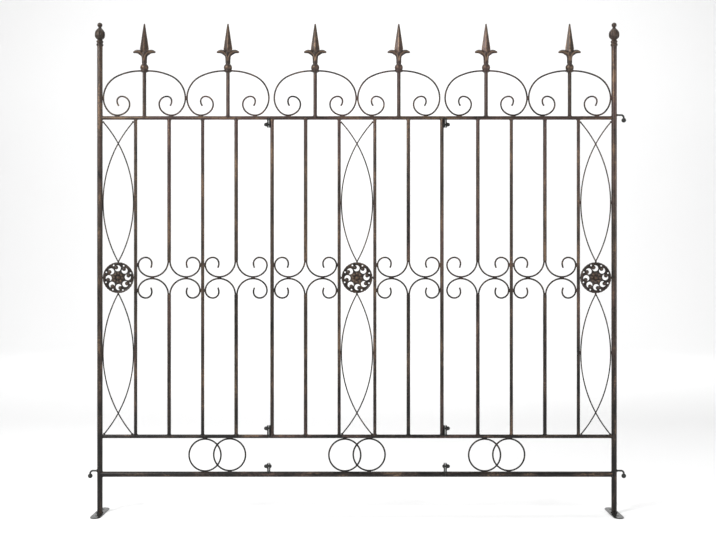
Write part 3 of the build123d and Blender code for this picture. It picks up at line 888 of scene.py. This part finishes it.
def section_welds(section):
    """Every bead and lump that joins a section's own tubes and wires."""
    shell = Shell()
    seed = {"left": 100, "middle": 300, "right": 500}[section]
    full, split = uprights(section)
    bar_r = {float((low[0] + high[0]) / 2): (high[0] - low[0]) / 2
             for low, high in clusters(section + "_bars")}
    stiles = [float(centre(f"middle_{side}_stile")[0])
              for side in ("left", "right") if section == "middle"]
    for x in full + split + stiles:
        for z, up in ((LOWER_Z, 1), (TOP_Z, -1)):
            bead_ring(shell, (x, 0, z), (0, 0, up), (1, 0, 0), bar_r.get(x, STILE_R), RAIL_R, seed)
            seed += 1
    for x in spear_axes(section):
        bead_ring(shell, (x, 0, TOP_Z), (0, 0, 1), (1, 0, 0), SPEAR_STEM_R, RAIL_R, seed)
        seed += 1
    if section in POST_X:
        side = 1 if section == "left" else -1
        joins = [(z, side, radius * 0.999)
                 for z, radius in ((TOP_Z, RAIL_R), (LOWER_Z, RAIL_R), (BOTTOM_Z, LOW_RAIL_R))]
        joins += [(high[2] - HOOK_R, -side, HOOK_R) for _, high in clusters(section + "_hooks", 2, 0.1)]
        for z, way, radius in joins:
            bead_ring(shell, (POST_X[section], 0, z), (way, 0, 0), (0, 0, 1), radius, POST_R, seed)
            seed += 1
    seed = scroll_welds(shell, split, full + stiles, seed)
    seed = arch_welds(shell, section, seed)
    seed = ring_welds(shell, section, seed)
    cross_welds(shell, section, seed)
    return shell


def ring_welds(shell, section, seed):
    """Lumps where the rings meet the rails and cross each other."""
    low, high = box(section + "_rings")
    x, _, z = (low + high) / 2
    for path in ring_paths(section):
        for level in (low[2] - 0.6 * MM, high[2] + 0.6 * MM):
            lump(shell, (path[:, 0].mean(), path[0, 1] * 0.5, level), (2.3, 1.1, 0.75), seed)
            seed += 1
    outer = half(section + "_rings", 2)
    apart = half(section + "_rings", 0) - outer
    rise = sqrt((outer - setting("wires").radius) ** 2 - apart**2)
    for way in (-1, 1):
        lump(shell, (x, 0, z + way * rise), (0.95, 1.35, 0.95), seed)
        seed += 1
    return seed


def scroll_welds(shell, split, standing, seed):
    """Lumps where scrolls meet each other, the split bar's ends and the uprights beside them."""
    wires = setting("wires")
    meet = wires.scroll_bend + wires.radius
    touch = wires.scroll_shoulder + wires.radius
    for x in split:
        for hand in (-1, 1):
            lump(shell, (x + hand * meet, 0, SCROLL_Z), (2.0, 0.85, 0.62), seed)
            seed += 1
            beside = [s for s in standing if 0 < hand * (s - x) < NEIGHBOUR]
            for lift in (-1, 1):
                if beside:
                    face = abs(beside[0] - x) - STILE_R - 0.3 * MM
                    lump(shell, (x + hand * face, 0, SCROLL_Z + lift * touch), (0.95, 0.95, 1.9), seed)
                seed += 1
        for lift in (-1, 1):
            end = SCROLL_Z + lift * (meet + wires.fit - 1.0 * MM)
            lump(shell, (x, 0, end), (1.45, 0.95, 1.3), seed)
            seed += 1
    return seed


def arch_welds(shell, section, seed):
    """Lumps at the collars, on the rail, between arches and at the post."""
    wire_r = setting("wires").radius
    low, high = box(section + "_arches")
    for path in arch_paths(section):
        start, foot = path[0], path[np.argmin(path[:, 2])]
        outer = path[np.argmax(np.abs(path[:, 0] - start[0]))]
        way = np.sign(outer[0] - start[0])
        lump(shell, start, (0.9, 1.05, 1.05), seed)
        lump(shell, (foot[0], 0, foot[2] - wire_r - 0.1 * MM), (2.3, 0.95, 0.7), seed + 1)
        free = section == "middle" or way == (1 if section == "left" else -1)
        rim = low[0] if way < 0 else high[0]
        if not (free and abs(outer[0] - rim) < 5 * MM):
            lump(shell, (outer[0] + way * wire_r, 0, outer[2]), (0.8, 0.9, 1.9), seed + 2)
        seed += 3
    return seed


def cross_welds(shell, section, seed):
    """Lumps where the bowed wires cross, touch the uprights and end."""
    x = float(centre(section + "_medallion")[0])
    for index, path in enumerate(cross_paths(section)):
        way = np.sign(path[len(path) // 3, 0] - x)
        bow = path[np.argmax(way * (path[:, 0] - x))]
        lump(shell, (bow[0] + way * 1.4 * MM, bow[1] * 0.6, bow[2]), (0.55, 0.7, 1.7), seed)
        lump(shell, path[-1], (0.95, 0.8, 0.95), seed + 1)
        if index % 2 == 0:
            crossing = path[10 + np.argmin(np.abs(path[10:, 0] - x))]
            lump(shell, (x, 0, crossing[2]), (0.62, 1.0, 0.9), seed + 2)
            lump(shell, (x, 0, path[0][2]), (0.95, 1.1, 0.9), seed + 3)
        seed += 4


# ---- operators --------------------------------------------------------------------------------
class FENCE_OT_tubes(bpy.types.Operator):
    """Paint the posts, rails, bars, stiles and foot plates"""

    bl_idname = "fence.tubes"
    bl_label = "Paint tubes"

    def execute(self, context):
        for section in SECTIONS:
            coat(section + "_bars", "bronze_upright")
            for rail in ("top", "lower", "bottom"):
                coat(f"{section}_{rail}_rail", "bronze_rail")
        for side in ("left", "right"):
            coat(side + "_post", "bronze_upright")
            coat(f"middle_{side}_stile", "bronze_upright")
            coat(side + "_foot_plate", "foot_plate_grey")
            coat(f"middle_{side}_straps", "fitting_black")
            coat(side + "_joint_straps", "fitting_black")
            coat(side + "_hooks", "fitting_black")
        return {"FINISHED"}


class FENCE_OT_wires(bpy.types.Operator):
    """Make the scrolls, arches, rings and bowed wires"""

    bl_idname = "fence.wires"
    bl_label = "Bend wires"

    def execute(self, context):
        wires = context.scene.fence_wires
        makers = (("scrolls", scroll_paths), ("arches", arch_paths), ("rings", ring_paths),
                  ("cross_wires", cross_paths))
        for section in SECTIONS:
            for kind, paths in makers:
                radius = cross_radius(section) if kind == "cross_wires" else wires.radius
                shell = Shell()
                for index, path in enumerate(paths(section)):
                    wire(shell, path, radius, 40 + index, kind == "rings")
                shell.build(f"{section}_{kind}_bent", "bronze_wire", "wire_paint",
                            replaces=[f"{section}_{kind}"])
        return {"FINISHED"}


class FENCE_OT_castings(bpy.types.Operator):
    """Make the spears, post finials and medallions"""

    bl_idname = "fence.castings"
    bl_label = "Cast spears, finials and medallions"

    def execute(self, context):
        for section in SECTIONS:
            shell = Shell()
            base = box(section + "_spears")[1][2] - SPEAR_RISE
            for x in spear_axes(section):
                add_spear(shell, x, base)
            shell.build(section + "_spears_cast", "bronze_cast", "cast_bronze_paint", 38,
                        [section + "_spears"])
            shell = Shell()
            x, _, z = centre(section + "_medallion")
            add_medallion(shell, x, z, half(section + "_medallion", 0))
            shell.build(section + "_medallion_cast", "bronze_cast", "cast_bronze_paint", 50,
                        [section + "_medallion"])
        for side, x in POST_X.items():
            shell = Shell()
            add_finial(shell, x, box(side + "_post_finial")[0][2])
            shell.build(side + "_finial_cast", "bronze_cast", "cast_bronze_paint", 50,
                        [side + "_post_finial"])
        return {"FINISHED"}


class FENCE_OT_bolts(bpy.types.Operator):
    """Make the bolts of the section joints"""

    bl_idname = "fence.bolts"
    bl_label = "Fit joint bolts"

    def execute(self, context):
        for side, way in (("left", -1), ("right", 1)):
            shell = Shell()
            parts = clusters(side + "_joint_bolts", 2, 0.03)
            starts = [way * ((part[1] if way < 0 else part[0])[0] - MIDDLE_X) for part in parts]
            strap_low, strap_high = box(side + "_joint_straps")
            outer = way * ((strap_low if way < 0 else strap_high)[0] - MIDDLE_X)
            for (part_low, part_high), inner in zip(parts, starts):
                head = max(starts) - inner - 0.2 * MM
                add_bolt(shell, MIDDLE_X, (part_low[2] + part_high[2]) / 2, way, inner, outer, head)
            shell.build(side + "_joint_bolts_made", "fitting_black", "blackened_steel", 40,
                        [side + "_joint_bolts"])
        return {"FINISHED"}


class FENCE_OT_welds(bpy.types.Operator):
    """Lay the weld beads"""

    bl_idname = "fence.welds"
    bl_label = "Lay weld beads"

    def execute(self, context):
        for section in SECTIONS:
            section_welds(section).build(section + "_weld_beads", "bronze_weld", "tube_paint")
        for index, (side, x) in enumerate(POST_X.items()):
            shell = Shell()
            top = box(side + "_foot_plate")[1][2]
            turn = circle(40)
            rough = 1 + 0.18 * ripple(2 * turn, 700 + index, 6)
            outward = np.stack([np.cos(turn), np.sin(turn), 0 * turn], 1)
            path = FOOT_WELD_R * outward + (x, 0, top + 0.3 * MM)
            carry(shell, path, outward, 1.9 * MM * rough, 2.3 * MM * rough, 10, closed=True)
            shell.build(side + "_foot_weld", "bronze_weld", "tube_paint")
        return {"FINISHED"}


class FENCE_OT_stage(bpy.types.Operator):
    """Make the floor, the light and the camera"""

    bl_idname = "fence.stage"
    bl_label = "Set the stage"

    def execute(self, context):
        studio = context.scene.fence_studio
        self.sweep_floor()
        self.sky(context, studio)
        fence, floor, backdrop = (0, 0, 0.75), (0, 2.2, 0), (0, 9.0, 2.2)
        self.softbox("key_light", (-2.3, -2.5, 2.5), fence, (1.3, 1.3), studio.key)
        self.softbox("fill_light", (2.8, -1.8, 1.2), fence, (1.6, 1.6), studio.fill)
        self.softbox("floor_light", (0, 0.8, 4.4), floor, (6.0, 2.6), studio.floor)
        self.softbox("backdrop_light", (0, 3.2, 4.2), backdrop, (11.0, 1.8), studio.backdrop)
        lens = bpy.data.cameras.new("fence_camera")
        lens.lens = studio.lens
        lens.sensor_width = 36.0
        lens.shift_x, lens.shift_y = studio.slide, studio.lift
        camera = stand("fence_camera", lens)
        camera.location = (MIDDLE_X, -studio.distance, studio.height)
        camera.rotation_euler = (pi / 2, 0, 0)
        context.scene.camera = camera
        context.scene.view_settings.view_transform = "Standard"
        return {"FINISHED"}

    def sweep_floor(self):
        """A pale floor that is flat for metres and then curves up far behind: y on a line, z a
        quarter circle."""
        flat = np.linspace(-9.0, 6.0, 16)
        curve = np.linspace(0, pi / 2, 20)[1:]
        y = np.concatenate([flat, 6.0 + 3.0 * np.sin(curve), [9.0]])
        z = np.concatenate([0 * flat, 3.0 - 3.0 * np.cos(curve), [9.0]])
        x = np.linspace(-12.0, 13.5, 12)
        points = np.stack(np.broadcast_arrays(x[None, :], y[:, None], z[:, None]), -1)
        mesh = bpy.data.meshes.new("studio_floor")
        mesh.from_pydata(points.reshape(-1, 3).tolist(), [], cells(*points.shape[:2]).tolist())
        mesh.polygons.foreach_set("use_smooth", np.ones(len(mesh.polygons), bool))
        s = Shader("studio_paper")
        s.dress({"Base Color": (0.93, 0.93, 0.93), "Roughness": 0.9, "Specular IOR Level": 0.1})
        mesh.materials.append(s.material)
        stand("studio_floor", mesh)

    def sky(self, context, studio):
        """An even white light from all round."""
        world = bpy.data.worlds.new("studio_world")
        world.use_nodes = True
        back = world.node_tree.nodes["Background"]
        back.inputs["Color"].default_value = (1.0, 1.0, 1.0, 1.0)
        back.inputs["Strength"].default_value = studio.sky
        context.scene.world = world

    def softbox(self, name, place, target, size, power):
        """A rectangular area light that faces its target, both placed from the fence's middle."""
        light = bpy.data.lights.new(name, "AREA")
        light.shape = "RECTANGLE"
        light.size, light.size_y = size
        light.energy = power
        holder = stand(name, light)
        holder.location = Vector(place) + Vector((MIDDLE_X, 0, 0))
        holder.rotation_euler = (Vector(target) - Vector(place)).to_track_quat("-Z", "Y").to_euler()


OPERATORS = (FENCE_OT_stage, FENCE_OT_tubes, FENCE_OT_wires, FENCE_OT_castings, FENCE_OT_bolts,
             FENCE_OT_welds)


class FENCE_PT_panel(bpy.types.Panel):
    """Lists the fence's pieces and settings"""

    bl_label = "Garden Fence"
    bl_idname = "FENCE_PT_panel"
    bl_space_type = "VIEW_3D"
    bl_region_type = "UI"
    bl_category = "Fence"

    def draw(self, context):
        for operator in OPERATORS:
            self.layout.operator(operator.bl_idname)
        for name, group in GROUPS.items():
            column = self.layout.column(align=True)
            for key in group.__annotations__:
                column.prop(getattr(context.scene, name), key)


GROUPS = {"fence_paint": FencePaint, "fence_wires": FenceWires, "fence_welds": FenceWelds,
          "fence_studio": FenceStudio}


def register():
    """Registers the settings, the operators and the panel."""
    for name, group in GROUPS.items():
        bpy.utils.register_class(group)
        setattr(bpy.types.Scene, name, PointerProperty(type=group))
    for item in (*OPERATORS, FENCE_PT_panel):
        bpy.utils.register_class(item)


def unregister():
    """Takes everything that register added away again."""
    for item in (FENCE_PT_panel, *reversed(OPERATORS)):
        bpy.utils.unregister_class(item)
    for name, group in reversed(GROUPS.items()):
        delattr(bpy.types.Scene, name)
        bpy.utils.unregister_class(group)


def main():
    """Makes the whole fence."""
    register()
    for operator in OPERATORS:
        name = operator.bl_idname.split(".")[1]
        getattr(bpy.ops.fence, name)()
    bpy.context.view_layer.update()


if __name__ == "__main__":
    main()
